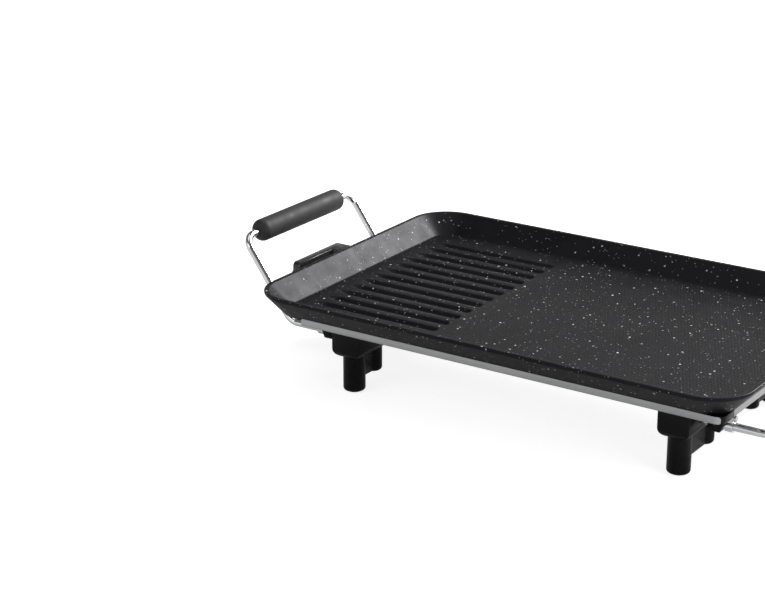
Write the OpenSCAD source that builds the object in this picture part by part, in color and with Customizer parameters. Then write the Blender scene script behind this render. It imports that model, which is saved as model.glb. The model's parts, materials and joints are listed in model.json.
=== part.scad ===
// Rectangular electric griddle: a die-cast pan with a ribbed third and a flat zone, on four legs,
// with two wire handles and a plug-in thermostat at the left end.
// +X runs to the right end, +Y to the back, +Z up. The origin is on the table under the centre.

/* [Pan] */
// Length of the pan over its rim
pan_l = 452; // [430:1:480]
// Width of the pan over its rim
pan_w = 300; // [280:1:330]
// Height of the rim above the table
rim_z = 94; // [90:1:104]
// Corner radius of the rim in plan
rim_r = 37; // [32:1:45]
// Depth of the cooking well below the rim
well_depth = 17; // [14:0.5:19]
// Thickness of the cooking floor
floor_t = 4; // [3.5:0.5:5]
// Distance from the rim in to the foot of the well's wall
wall_run = 22; // [20:0.5:24]

/* [Grill ribs] */
// Number of grooves between the ribs
groove_count = 12; // [8:1:12]
// Spacing of the grooves
groove_pitch = 17.8; // [15:0.1:18.5]
// Width of one groove at the floor
groove_w = 8; // [6:0.5:10]
// Depth of one groove
groove_depth = 2.6; // [1.5:0.1:2.8]
// Distance from the left rim to the grooves' left ends
groove_from = 36; // [34:1:50]
// Distance from the left rim to the grooves' right ends
groove_to = 160; // [130:1:200]

/* [Base tray] */
// Height of the bright band under the pan's wall
band_h = 6.5; // [5:0.5:7]
// Thickness of the tray's sheet
sheet_t = 1; // [0.8:0.1:1.2]

/* [Handles] */
// Diameter of the handle wire
wire_d = 6.6; // [6:0.2:7]
// Distance from the rim out to the grip's axis
grip_reach = 53.6; // [48:0.2:60]
// Height of the grip's axis above the rim
grip_rise = 21.4; // [16:0.2:26]
// Distance between the two wires of one handle
wire_span = 164; // [158:1:168]
// Diameter of the grip
grip_d = 20.2; // [18:0.2:22]
// Length of the grip
grip_l = 125; // [110:1:130]

/* [Legs] */
// Diameter of a leg's post
post_d = 19.5; // [18:0.5:22]
// Distance from the end rim in to a post's axis
leg_in_x = 70; // [68:1:80]
// Distance from the side rim in to a post's axis
leg_in_y = 60; // [58:1:62]

/* [Thermostat] */
// Width of the thermostat's housing
control_w = 72; // [70:1:76]
// Depth of the thermostat's housing, away from the pan
control_d = 34; // [34:1:36]
// Radius of the cord's hole in the gland
gland_r = 3.6; // [3:0.1:3.8]

/* [Knob] */
// Diameter of the knob's skirt
knob_d = 45; // [40:1:46]
// Number of grip ribs round the knob
knob_ribs = 60; // [36:1:60]

/* [Hidden] */
$fn = 64;
eps = 0.01;
cut = 1;
// Running gap between fixed round fits, and between parts that slide past each other
fit = 0.05;
slide_gap = 0.3;

// Pan levels and insets from the rim
half_l = pan_l / 2;
half_w = pan_w / 2;
floor_z = rim_z - well_depth;
under_z = floor_z - floor_t;
wall_foot_z = rim_z - 19;
wall_foot_in = 15;
foot_step_in = wall_foot_in + 1.4;
lip_in = 4;
corner_steps = 11;
// Section of the pan from the underside up the outer wall, over the lip and down into the well
pan_section = [[wall_foot_in + 4, under_z], [foot_step_in, wall_foot_z - 1.4],
    [foot_step_in, wall_foot_z - 0.05], [wall_foot_in, wall_foot_z], [1.4, rim_z - 3.6],
    [0.5, rim_z - 3], [0, rim_z - 2.2], [0, rim_z - 1], [0.3, rim_z - 0.3], [1, rim_z],
    [lip_in - 1, rim_z], [lip_in, rim_z - 0.5],
    [wall_run - 1.6, floor_z + 1.8], [wall_run, floor_z + 0.5], [wall_run + 2, floor_z]];

// Grooves
groove_r = (pow(groove_w / 2, 2) + pow(groove_depth, 2)) / (2 * groove_depth);
groove_axis_z = floor_z + groove_r - groove_depth;
groove_x0 = groove_from - half_l + groove_w / 2;
groove_x1 = groove_to - half_l - groove_w / 2;
groove_y0 = -groove_pitch * (groove_count - 1) / 2;

// Base tray: band under the wall, flat shoulder, and a dish below the heater
band_bottom = wall_foot_z - band_h;
shoulder_in = 30;
dish_in = 35;
dish_z = rim_z - 32.5;
dish_floor = dish_z + sheet_t;
band_x0 = 46 - half_l;
band_x1 = half_l - 17.5;
end_band_y = half_w - 36;
band_in = wall_foot_in + 0.2;
band_top = wall_foot_z - 0.2;
notch_l = 40;
notch_half = 30;
// The tray's right-hand corners are tighter than the pan's by this radius
corner_less = 14;
tray_outer = [[dish_in, dish_z], [shoulder_in, band_bottom], [band_in + 0.8, band_bottom],
    [band_in, band_bottom + 0.8], [band_in, band_top]];
tray_inner = [[dish_in + 0.6, dish_floor], [shoulder_in + 0.6, band_bottom + sheet_t],
    [band_in + sheet_t, band_bottom + sheet_t], [band_in + sheet_t, wall_foot_z + cut]];

// Heating element, under the pan's floor
element_r = 3.15;
element_bend = 16;
element_rise = 20;
element_sides = 12;
bend_step = 15;
left = 0;
up = 90;
right = 180;
down = 270;
element_z = under_z - element_r - fit;
pin_z = element_z - 2 * element_bend * (1 - cos(element_rise)) - 4 * sin(element_rise);
element_runs = [6, 4, 33.3, 49, 278, 38, 218];
element_back_run = 28;
element_turns = [[up, element_rise, element_bend], [down, element_rise, element_bend],
    [left, 90, element_bend], [right, 90, element_bend], [right, 90, element_bend],
    [right, 90, element_bend], [left, 90, element_bend]];
clip_t = 1.2;
clip_l = 12;
clip_foot = 20;
clip_spots = [[-20, 100, 0], [110, 100, 0], [60, 30, 0], [60, -30, 0], [110, -100, 0], [-20, -100, 0],
    [-120, 70, 90], [-120, -70, 90]];

// Plug at the left end: two pins and a probe on one level
pin_y = 19;
pin_r = 2.5;
pin_root_x = 36 - half_l;
pin_tip_x = -half_l - 14;
plate_x = 30 - half_l;
plate_t = 1.2;
plate_w = 88;
plate_flange = 14;
plate_screw_x = plate_x + 7;
plate_screw_y = 38;
insulator_r = 3.5;
insulator_rim_r = 4.1;
shroud_w = 74;
shroud_z0 = 52;
shroud_z1 = 82;
shroud_t = 2;
shroud_mouth_x = -half_l - 0.5;
shroud_end_x = plate_x - plate_t;
ear_w = 7;
ear_z0 = 56;
ear_h = 12;
probe_r = 3;
probe_tip_x = -150;
guide_x0 = -188;
guide_l = 34;
guide_w = 14;

// Legs
post_x = half_l - leg_in_x;
post_y = half_w - leg_in_y;
block_l = 28;
block_front = half_w - 46;
block_z = 33;
block_r = 8;
block_edge_r = 6;
post_foot_r = 2.5;
rear_post_d = 16;
rear_post_z = 10;
rear_foot_r = 3.5;
// The short post stands closer to the middle on the right-hand legs
rear_post_y_left = half_w - 89;
rear_post_y_right = half_w - 106;
leg_screw_spots = [for (sy = [-1, 1])
    each [[-post_x, sy * rear_post_y_left], [post_x, sy * rear_post_y_right]]];
web_t = 8;
pad_d = 13;
pad_proud = 1;
pad_deep = 4;
leg_screw_head_z = 46;
counterbore_r = 4.6;
boss_r = 5.5;
boss_hole_l = 9.5;
tray_screw_x = 90;
tray_screw_y = 70;
tray_screw_spots = [for (x = [-1, 1], y = [-1, 1]) [x * tray_screw_x, y * tray_screw_y]];

// Screws: shank radius, then radius and height of the head
screw_r = 2;
plate_screw_r = 1.5;
small_screw_r = 1.25;
leg_head = [4, 3];
tray_head = [4, 2.4];
plate_head = [2.8, 1.8];
small_head = [2.6, 1.6];
boss_grip = 8.5;
plate_grip = 2.5;

// Handles
wire_r = wire_d / 2;
wire_y = wire_span / 2;
grip_x = half_l + grip_reach;
grip_z = rim_z + grip_rise;
wire_sides = 20;
wire_lean = 36;
wire_slant = 66;
wire_bend = 12;
knee_bend = 14;
wire_end_x = 150;
wire_z = grip_z - knee_bend * (1 - sin(wire_lean)) - (wire_slant + wire_bend) * cos(wire_lean);
wire_flat = grip_x - wire_end_x - knee_bend * cos(wire_lean) - (wire_slant + wire_bend) * sin(wire_lean);
grip_r = grip_d / 2;
saddle_w = 14;
saddle_x0 = half_l - dish_in - 13;
saddle_x1 = half_l - shoulder_in + 2;
saddle_z0 = wire_z - wire_r - 1.7;
saddle_knee_z = rim_z - 32;
saddle_tip_x = saddle_x1 - 9.5;
saddle_slope = (saddle_knee_z - saddle_z0) / (saddle_x1 - saddle_tip_x);
clip_ring_r = 4.8;
clip_ring_x = half_l - 34.7;
clip_ring_w = 6.4;
clip_screw_z = wire_z + 6.8;
clip_screw_l = 11;
clip_top_z = wire_z + 10.3;
clip_gap = 0.12;

// Thermostat housing, from its face at the pan outwards along -X
control_x0 = -half_l - 1;
control_x1 = control_x0 - control_d;
control_split = control_x0 - 16;
control_z0 = 26;
control_z1 = rim_z - 11;
control_r = 4;
case_t = 2.2;
recess_z = control_z1 - 8;
recess_y = 15;
recess_x = control_x1 + 8;
cavity_z1 = recess_z - case_t;
nose_x = control_x0 + 8;
nose_w = 66;
nose_z0 = 56;
nose_z1 = 77;
sleeve_r = 4;
sleeve_back_x = control_x0 - 17;
case_screw_y = control_w / 2 - 6.5;
case_screw_z = [control_z0 + 6, cavity_z1 - 5];
case_boss_r = 3.6;
lens_z = control_z1 - 4.5;
gland_x = control_x1 + 9;
gland_z = 42;
gland_l = 14;
gland_neck_r = 5;
lens_r = 2.5;
lens_l = 4;

// Switch inside the housing: bracket on two pillars, blade and a pair of contacts
bracket_x = control_x0 - case_t - 4.6;
bracket_t = 1.2;
bracket_half_w = 14;
bracket_z0 = 34;
bracket_z1 = 60;
pillar_y = 8;
pillar_z = 56;
pillar_r = 2;
stud_z = 37;
stud_r = 3;
stud_l = 1.6;
blade_x = bracket_x - 2.2;
blade_t = 0.6;
blade_half_w = 4;
blade_z1 = 58;
contact_x = bracket_x - stud_l;
contact_z = 54.5;
contact_r = 1.6;
contact_t = 0.7;
contact_gap = 0.2;

// Knob on the housing's outer face
knob_z = rim_z - 45;
shaft_r = 2.95;
shaft_in_x = control_x0 - 11;
bezel_r = 24.3;
bezel_h = 3;
bezel_hole_r = 9;
bushing_r = 5;
bushing_rim_r = 7;
bushing_rim_t = 1.5;
nut_r = 7.6;
nut_t = 2.2;
knob_base_x = control_x1 - bezel_h - slide_gap;
knob_h = 15.2;
knob_r = knob_d / 2;
dial_r = 18.4;
dial_t = 0.8;

// Corner radius at an inset from the rim
function corner_at(inset, less) = max(rim_r - inset - less, 1);

// Outline of a rounded rectangle inset from the rim, at one level. Its right-hand corners have less radius
function corner_ring(inset, z, less) = [
    for (q = [0:3], s = [0:corner_steps - 1])
        let (a = q * 90 + s * 90 / (corner_steps - 1),
            sx = (q == 0 || q == 3) ? 1 : -1,
            sy = (q < 2) ? 1 : -1,
            r = corner_at(inset, (sx > 0) ? less : 0))
        [sx * (half_l - inset - r) + r * cos(a), sy * (half_w - inset - r) + r * sin(a), z]];

// Solid between rings given as [inset, level], the first ring lowest at its own end
module ring_loft(section, less = 0) {
    n = 4 * corner_steps;
    last = len(section) - 1;
    points = [for (s = section) each corner_ring(s[0], s[1], less)];
    faces = [
        [for (i = [0:n - 1]) i],
        [for (i = [n - 1:-1:0]) last * n + i],
        for (k = [0:last - 1], i = [0:n - 1])
            let (j = (i + 1) % n, a = k * n + i, b = k * n + j, c = a + n, d = b + n)
            each [[a, c, b], [b, c, d]]];
    polyhedron(points = points, faces = faces, convexity = 6);
}

function moved(v) = [[1, 0, 0, v[0]], [0, 1, 0, v[1]], [0, 0, 1, v[2]], [0, 0, 0, 1]];
function about_y(a) = [[cos(a), 0, sin(a), 0], [0, 1, 0, 0], [-sin(a), 0, cos(a), 0], [0, 0, 0, 1]];
function about_z(a) = [[cos(a), -sin(a), 0, 0], [sin(a), cos(a), 0, 0], [0, 0, 1, 0], [0, 0, 0, 1]];

// Frame reached from f after a part of one turn [side, angle, bend radius]
function turned(f, turn, share) = f * about_z(turn[0]) * moved([turn[2], 0, 0])
    * about_y(turn[1] * share) * moved([-turn[2], 0, 0]) * about_z(-turn[0]);

// Frames along a bar that runs up Z from f in straight lengths, with a turn after each but the last
function walk(f, lengths, turns, k = 0) = let (ahead = f * moved([0, 0, lengths[k]]))
    k == len(turns) ? [ahead] :
    let (steps = ceil(turns[k][1] / bend_step))
    [ahead, for (s = [1:steps]) turned(ahead, turns[k], s / steps),
        each walk(turned(ahead, turns[k], 1), lengths, turns, k + 1)];

// Round bar of that shape. A turn's side is the angle about the bar, from its X, towards which it bends
module bent_bar(r, sides, lengths, turns) {
    start = moved([0, 0, 0]);
    frames = [start, each walk(start, lengths, turns)];
    last = len(frames) - 1;
    points = [for (f = frames, i = [0:sides - 1])
        let (p = f * [r * cos(i * 360 / sides), r * sin(i * 360 / sides), 0, 1]) [p[0], p[1], p[2]]];
    faces = [[for (i = [0:sides - 1]) i], [for (i = [sides - 1:-1:0]) last * sides + i],
        for (k = [0:last - 1], i = [0:sides - 1])
            let (a = k * sides + i, b = k * sides + (i + 1) % sides) [a, a + sides, b + sides, b]];
    polyhedron(points = points, faces = faces, convexity = 10);
}

// Frame at p whose Z runs along +X and whose X runs along +Y
module heading_x(p) {
    translate(p) rotate([90, 0, 90]) children();
}

function reversed(list) = [for (k = [len(list) - 1:-1:0]) list[k]];

// Rectangle with round corners, from corner p to corner q
module round_rect(p, q, r) {
    translate([p[0] + r, p[1]]) square([q[0] - p[0] - 2 * r, q[1] - p[1]]);
    translate([p[0], p[1] + r]) square([q[0] - p[0], q[1] - p[1] - 2 * r]);
    for (x = [p[0] + r, q[0] - r], y = [p[1] + r, q[1] - r]) translate([x, y]) circle(r = r);
}

// Outline in the plane of X and Z, drawn out along Y about the middle plane
module along_y(w) {
    rotate([90, 0, 0]) linear_extrude(height = w, center = true) children();
}

// Outline in the plane of Y and Z, drawn out along X from x0 to x1
module along_x(x0, x1) {
    translate([x0, 0, 0]) rotate([90, 0, 90]) linear_extrude(height = x1 - x0) children();
}

// Cylinder along X from x0 to x1 at a point of Y and Z
module rod_x(x0, x1, y, z, r) {
    translate([x0, y, z]) rotate([0, 90, 0]) cylinder(r = r, h = x1 - x0);
}

// Child at each of the four corners, mirrored
module four_corners() {
    for (mx = [0, 1], my = [0, 1]) mirror([mx, 0, 0]) mirror([0, my, 0]) children();
}

// Round screw head under z with its shank standing up from it
module screw_up(head, shank_r, shank_l) {
    translate([0, 0, -head[1]]) cylinder(r = head[0], h = head[1]);
    translate([0, 0, -eps]) cylinder(r = shank_r, h = shank_l + eps);
}

// Die-cast pan
module griddle_pan() color("#26272a") {
    difference() {
        union() {
            difference() {
                ring_loft(pan_section);
                grooves();
            }
            for (p = [each leg_screw_spots, each tray_screw_spots]) pan_boss(p);
        }
        for (p = [each leg_screw_spots, each tray_screw_spots]) boss_hole(p);
        for (y = [-plate_screw_y, plate_screw_y])
            translate([plate_screw_x, y, under_z - cut])
                cylinder(r = plate_screw_r + fit, h = cut + plate_grip + 0.2);
    }
}

module grooves() {
    for (k = [0:groove_count - 1]) {
        y = groove_y0 + k * groove_pitch;
        rod_x(groove_x0, groove_x1, y, groove_axis_z, groove_r);
        for (x = [groove_x0, groove_x1]) translate([x, y, groove_axis_z]) sphere(r = groove_r);
    }
}

module pan_boss(p) {
    translate([p[0], p[1], dish_floor]) cylinder(r = boss_r, h = under_z - dish_floor + eps);
}

module boss_hole(p) {
    translate([p[0], p[1], dish_floor - cut]) cylinder(r = screw_r + fit, h = boss_hole_l + cut);
}

// Sheet tray: bright bands on three sides, a shoulder, and a dish that shields the heater
module base_tray() color("#b9bcc0") {
    difference() {
        ring_loft(tray_outer, corner_less);
        ring_loft(tray_inner, corner_less);
        // The left end is open above the dish, for the plug
        translate([-half_l, -half_w, band_bottom - eps])
            cube([shoulder_in, pan_w, band_h + cut]);
        for (my = [0, 1]) mirror([0, my, 0]) {
            translate([-half_l, -half_w, band_bottom - eps])
                cube([band_x0 + half_l, shoulder_in, band_h + cut]);
            translate([band_x1, -half_w, band_bottom - eps])
                cube([half_l - band_x1, half_w - end_band_y, band_h + cut]);
        }
        // Notch for the pins and the probe
        translate([-half_l, -notch_half, dish_floor]) cube([notch_l, 2 * notch_half, band_h * 2]);
        for (p = [each leg_screw_spots, each tray_screw_spots])
            translate([p[0], p[1], dish_z - cut]) cylinder(r = screw_r + 0.3, h = sheet_t + 2 * cut);
    }
}

// Sheathed tube heater in one loop, both ends at the plug
module heating_element() color("#6f6f72") {
    heading_x([pin_root_x, pin_y, pin_z])
        bent_bar(element_r, element_sides,
            [each element_runs, element_back_run, each reversed(element_runs)],
            [each element_turns, each reversed(element_turns)]);
}

// Straps that hold the heater against the pan
module element_clips() color("#8d8f92") {
    for (s = clip_spots) translate([s[0], s[1], element_z]) rotate([0, 0, s[2] + 90]) element_clip();
}

module element_clip() {
    r = element_r + fit;
    top = under_z - element_z;
    side = r + clip_t;
    along_y(clip_l) difference() {
        polygon([[-clip_foot / 2, top], [-clip_foot / 2, top - clip_t], [-side, top - clip_t],
            [-side, -side / 2], [-side / 2, -side], [side / 2, -side], [side, -side / 2],
            [side, top - clip_t], [clip_foot / 2, top - clip_t], [clip_foot / 2, top]]);
        polygon([[-r, top + cut], [-r, -r * 0.45], [-r * 0.45, -r], [r * 0.45, -r],
            [r, -r * 0.45], [r, top + cut]]);
    }
}

// Angle plate that carries the two pins at the left end
module terminal_plate() color("#9fa2a6") {
    difference() {
        union() {
            along_x(plate_x - plate_t, plate_x)
                round_rect([-plate_w / 2, shroud_z0], [plate_w / 2, under_z], 2);
            translate([plate_x - plate_t, -plate_w / 2, under_z - plate_t])
                cube([plate_flange + plate_t, plate_w, plate_t]);
        }
        for (y = [-pin_y, pin_y])
            rod_x(plate_x - plate_t - cut, plate_x + cut, y, pin_z, insulator_r + fit);
        rod_x(plate_x - plate_t - cut, plate_x + cut, 0, pin_z, probe_r + 2 * slide_gap);
        for (y = [-plate_screw_y, plate_screw_y])
            translate([plate_screw_x, y, under_z - plate_t - cut])
                cylinder(r = 1.8, h = plate_t + 2 * cut);
        for (y = [-1, 1] * (shroud_w + ear_w) / 2)
            rod_x(plate_x - plate_t - cut, plate_x + cut, y, ear_z0 + ear_h / 2, small_screw_r + fit);
    }
}

// Contact pins of the plug, joined to the heater's ends
module terminal_pins() color("#cfc9b0") {
    for (y = [-pin_y, pin_y]) {
        rod_x(pin_tip_x + 2, pin_root_x, y, pin_z, pin_r);
        translate([pin_tip_x + 2, y, pin_z]) rotate([0, -90, 0])
            rotate_extrude() polygon([[0, 0], [pin_r, 0], [pin_r - 1, 2], [0, 2]]);
    }
}

// Ceramic bushes round the pins, with a rim outside the plate
module terminal_insulators() color("#e6e0d2") {
    for (y = [-pin_y, pin_y]) difference() {
        union() {
            rod_x(plate_x - plate_t - eps, pin_root_x - 1, y, pin_z, insulator_r);
            rod_x(plate_x - plate_t - 1.5, plate_x - plate_t, y, pin_z, insulator_rim_r);
        }
        rod_x(plate_x - plate_t - cut - 1.5, pin_root_x, y, pin_z, pin_r + fit);
    }
}

// Block under the pan that takes the probe
module probe_guide() color("#a3a6aa") {
    difference() {
        translate([guide_x0 + 6, -guide_w / 2, dish_floor + 0.2])
            cube([guide_l - 6, guide_w, under_z - dish_floor - 0.2]);
        rod_x(guide_x0, guide_x0 + guide_l + cut, 0, pin_z, probe_r + slide_gap + fit);
    }
}

// Guard round the pins, open towards the thermostat
module socket_shroud() color("#1b1b1d") {
    wall_gap = 1.3;
    slope_x = wall_foot_in - half_l - wall_gap;
    top_x = slope_x - (shroud_z1 - wall_foot_z) * (wall_foot_in - 1.4) / (rim_z - 3.6 - wall_foot_z);
    outer = [[shroud_mouth_x, shroud_z0], [shroud_mouth_x, shroud_z1], [top_x, shroud_z1],
        [slope_x, wall_foot_z - 1], [slope_x + 1, under_z - 0.3], [shroud_end_x, under_z - 0.3],
        [shroud_end_x, shroud_z0]];
    inner = [[shroud_mouth_x - cut, shroud_z0 + shroud_t], [shroud_mouth_x - cut, shroud_z1 - shroud_t],
        [top_x - 1, shroud_z1 - shroud_t], [slope_x - 1, under_z - 0.3 - shroud_t],
        [shroud_end_x + cut, under_z - 0.3 - shroud_t], [shroud_end_x + cut, shroud_z0 + shroud_t]];
    difference() {
        union() {
            along_y(shroud_w) polygon(outer);
            along_x(shroud_end_x - shroud_t, shroud_end_x)
                round_rect([-shroud_w / 2 - ear_w, ear_z0], [shroud_w / 2 + ear_w, ear_z0 + ear_h], 3);
        }
        along_y(shroud_w - 2 * shroud_t) polygon(inner);
        for (y = [-1, 1] * (shroud_w + ear_w) / 2)
            rod_x(shroud_end_x - shroud_t - cut, shroud_end_x + cut, y, ear_z0 + ear_h / 2, 1.6);
    }
}

// Bakelite leg at the rear right, for mirroring: block, main post, short rear post and web
module leg(rear_y) color("#121214") {
    block_back = rear_y - rear_post_d / 2 - 1;
    web_z1 = block_z + block_r;
    difference() {
        union() {
            intersection() {
                translate([post_x, 0, 0]) along_y(pan_w)
                    leg_outline(-block_l / 2, block_l / 2, block_r);
                along_x(0, half_l) leg_outline(block_back, block_front, block_edge_r);
            }
            translate([post_x, post_y, pad_proud])
                rotate_extrude() post_section(post_d / 2, web_z1, post_foot_r);
            translate([post_x, rear_y, rear_post_z])
                rotate_extrude() post_section(rear_post_d / 2, web_z1 - rear_post_z, rear_foot_r);
            along_x(post_x - web_t / 2, post_x + web_t / 2)
                polygon([[rear_y, rear_post_z + 1], [post_y, rear_post_z + 1],
                    [post_y, web_z1], [rear_y, web_z1]]);
        }
        // Recess for the rubber foot
        translate([post_x, post_y, 0]) cylinder(r = pad_d / 2 + fit, h = pad_proud + pad_deep);
        // Deep hole for the leg's screw
        translate([post_x, rear_y, rear_post_z - cut])
            cylinder(r = counterbore_r, h = leg_screw_head_z - rear_post_z + cut);
        translate([post_x, rear_y, 0]) cylinder(r = screw_r + fit, h = rim_z);
        // Hole for the handle wire
        rod_x(wire_end_x, half_l, wire_y, wire_z, wire_r + fit);
    }
}

// Block of a leg from a to b, with two round lower corners
module leg_outline(a, b, r) {
    translate([a, block_z + r]) square([b - a, dish_z - block_z - r]);
    translate([a + r, block_z]) square([b - a - 2 * r, dish_z - block_z]);
    for (x = [a + r, b - r]) translate([x, block_z + r]) circle(r = r);
}

// Half section of a post with a round edge at its foot
module post_section(r, h, foot_r) {
    square([r - foot_r, h]);
    translate([0, foot_r]) square([r, h - foot_r]);
    translate([r - foot_r, foot_r]) circle(r = foot_r);
}

module leg_front_left() mirror([1, 0, 0]) mirror([0, 1, 0]) leg(rear_post_y_left);
module leg_front_right() mirror([0, 1, 0]) leg(rear_post_y_right);
module leg_rear_left() mirror([1, 0, 0]) leg(rear_post_y_left);
module leg_rear_right() leg(rear_post_y_right);

// Rubber plug in the bottom of a post
module foot(sx, sy) color("#2b2b2d") translate([sx * post_x, sy * post_y, 0]) {
    cylinder(r1 = pad_d / 2 - 0.8, r2 = pad_d / 2, h = 0.8);
    translate([0, 0, 0.8]) cylinder(r = pad_d / 2, h = pad_proud + pad_deep - 0.8);
}

module foot_front_left() foot(-1, -1);
module foot_front_right() foot(1, -1);
module foot_rear_left() foot(-1, 1);
module foot_rear_right() foot(1, 1);

// Chrome wire of the right handle, for mirroring
module handle_wire() color("#d9dadc") {
    knee = [up, 90 - wire_lean, knee_bend];
    corner = [right, 90, wire_bend];
    heading_x([wire_end_x, wire_y, wire_z])
        bent_bar(wire_r, wire_sides,
            [wire_flat, wire_slant, wire_span - 2 * wire_bend, wire_slant, wire_flat],
            [knee, corner, corner, knee]);
}

module handle_wire_left() mirror([1, 0, 0]) handle_wire();
module handle_wire_right() handle_wire();

// Round black grip on the wire
module grip(sx) color("#3a3a3c") {
    end_r = 7;
    translate([sx * grip_x, 0, grip_z]) rotate([90, 0, 0]) rotate_extrude() difference() {
        union() {
            translate([0, -grip_l / 2]) square([grip_r - end_r, grip_l]);
            translate([0, -grip_l / 2 + end_r]) square([grip_r, grip_l - 2 * end_r]);
            for (y = [-1, 1] * (grip_l / 2 - end_r)) translate([grip_r - end_r, y]) circle(r = end_r);
        }
        translate([-grip_r, -grip_l]) square([grip_r + wire_r + fit, 2 * grip_l]);
    }
}

module grip_left() grip(-1);
module grip_right() grip(1);

// Black saddles under the tray that steady the wires, and plugs that close the tray's right-hand corners
module handle_saddles() color("#151517") {
    edge_x = half_l - shoulder_in;
    dish_x = half_l - dish_in;
    outline = [[saddle_x0, dish_z], [dish_x, dish_z], [edge_x, band_bottom], [saddle_x1, band_bottom],
        [saddle_x1, saddle_knee_z], [saddle_tip_x, saddle_z0],
        [saddle_x0 + 3, saddle_z0], [saddle_x0, saddle_z0 + 3]];
    four_corners() difference() {
        translate([0, wire_y, 0]) along_y(saddle_w) polygon(outline);
        rod_x(wire_end_x, half_l, wire_y, wire_z, wire_r + fit);
        rod_x(clip_ring_x - clip_gap, half_l, wire_y, wire_z, clip_ring_r + clip_gap);
        rod_x(clip_ring_x - clip_screw_l - 1, half_l, wire_y, clip_screw_z, small_screw_r + fit);
    }
    for (my = [0, 1]) mirror([0, my, 0]) corner_plug();
}

// Plug between the ends of the bright bands, standing on the tray's shoulder
module corner_plug() {
    plug_x0 = half_l - shoulder_in + 4;
    shelf_z = band_bottom + sheet_t;
    translate([0, 0, shelf_z]) linear_extrude(height = band_top - shelf_z) difference() {
        intersection() {
            plan_outline(band_in + sheet_t + fit, corner_less);
            translate([plug_x0, end_band_y - 4]) square(half_l);
        }
        plan_outline(foot_step_in - fit, 0);
    }
    translate([0, 0, band_bottom]) linear_extrude(height = band_top - band_bottom) difference() {
        intersection() {
            plan_outline(band_in, corner_less);
            translate([band_x1 + fit, end_band_y + fit]) square(half_l);
        }
        plan_outline(foot_step_in - fit, 0);
    }
}

// Plan of the rounded rectangle at an inset from the rim
module plan_outline(inset, less) {
    corner = [half_l - inset, half_w - inset];
    round_rect(-corner, corner, corner_at(inset, less));
}

// Chrome clips that tie the wires to the saddles
module wire_clips() color("#c9cacc") {
    end_x = clip_ring_x + clip_ring_w;
    top_x = saddle_tip_x + (clip_top_z - saddle_z0) / saddle_slope + clip_gap;
    low_x = saddle_tip_x + (wire_z - saddle_z0) / saddle_slope + clip_gap;
    lug = [[low_x, wire_z], [end_x, wire_z], [end_x, clip_top_z - 1.5], [end_x - 1, clip_top_z],
        [top_x, clip_top_z]];
    four_corners() difference() {
        union() {
            rod_x(clip_ring_x, end_x, wire_y, wire_z, clip_ring_r);
            translate([0, wire_y, 0]) along_y(clip_ring_w) polygon(lug);
        }
        rod_x(wire_end_x, half_l, wire_y, wire_z, wire_r + fit);
        rod_x(wire_end_x, half_l, wire_y, clip_screw_z, small_screw_r + fit);
    }
}

module clip_screws() color("#bfc1c4") {
    end_x = clip_ring_x + clip_ring_w;
    four_corners() {
        rod_x(clip_ring_x - clip_screw_l, end_x, wire_y, clip_screw_z, small_screw_r);
        rod_x(end_x, end_x + small_head[1], wire_y, clip_screw_z, small_head[0]);
    }
}

// Screws up through the legs into the pan
module leg_screws() color("#bfc1c4") {
    for (p = leg_screw_spots) translate([p[0], p[1], leg_screw_head_z])
        screw_up(leg_head, screw_r, dish_floor + boss_grip - leg_screw_head_z);
}

// Screws that hold the tray to the pan
module tray_screws() color("#bfc1c4") {
    for (p = tray_screw_spots) translate([p[0], p[1], dish_z])
        screw_up(tray_head, screw_r, sheet_t + boss_grip);
}

module plate_screws() color("#bfc1c4") {
    for (y = [-plate_screw_y, plate_screw_y])
        translate([plate_screw_x, y, under_z - plate_t])
            screw_up(plate_head, plate_screw_r, plate_t + plate_grip);
}

module shroud_screws() color("#bfc1c4") {
    for (y = [-1, 1] * (shroud_w + ear_w) / 2) {
        rod_x(shroud_end_x - shroud_t, plate_x + 2, y, ear_z0 + ear_h / 2, small_screw_r);
        rod_x(shroud_end_x - shroud_t - small_head[1], shroud_end_x - shroud_t, y,
            ear_z0 + ear_h / 2, small_head[0]);
    }
}

// Outline of the thermostat's housing, with the shelf cut in its top at the pan's side
module control_outline(with_shelf) {
    difference() {
        round_rect([-control_w / 2, control_z0], [control_w / 2, control_z1], control_r);
        if (with_shelf) translate([-control_w, recess_z]) square([control_w + recess_y, control_z1]);
    }
}

module control_cavity(x0, x1) {
    along_x(x0, x1)
        round_rect([case_t - control_w / 2, control_z0 + case_t], [control_w / 2 - case_t, cavity_z1], 3);
}

module case_bosses(x0, x1) {
    for (y = [-case_screw_y, case_screw_y], z = case_screw_z) rod_x(x0, x1, y, z, case_boss_r);
}

module case_holes(x0, x1, r) {
    for (y = [-case_screw_y, case_screw_y], z = case_screw_z) rod_x(x0, x1, y, z, r);
}

// Half of the housing at the pan, with the nose that enters the guard
module control_front_case() color("#17171a") {
    difference() {
        union() {
            difference() {
                along_x(control_split, control_x0) control_outline(true);
                control_cavity(control_split - cut, control_x0 - case_t);
            }
            along_x(control_x0 - eps, nose_x) round_rect([-nose_w / 2, nose_z0], [nose_w / 2, nose_z1], 3);
            case_bosses(control_split, control_x0 - eps);
        }
        for (y = [-pin_y, pin_y]) rod_x(control_split - cut, nose_x + cut, y, pin_z, sleeve_r + fit);
        rod_x(control_split - cut, nose_x + cut, 0, pin_z, probe_r + fit);
        case_holes(control_split - cut, control_x0 - 4, small_screw_r + fit);
    }
}

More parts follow.
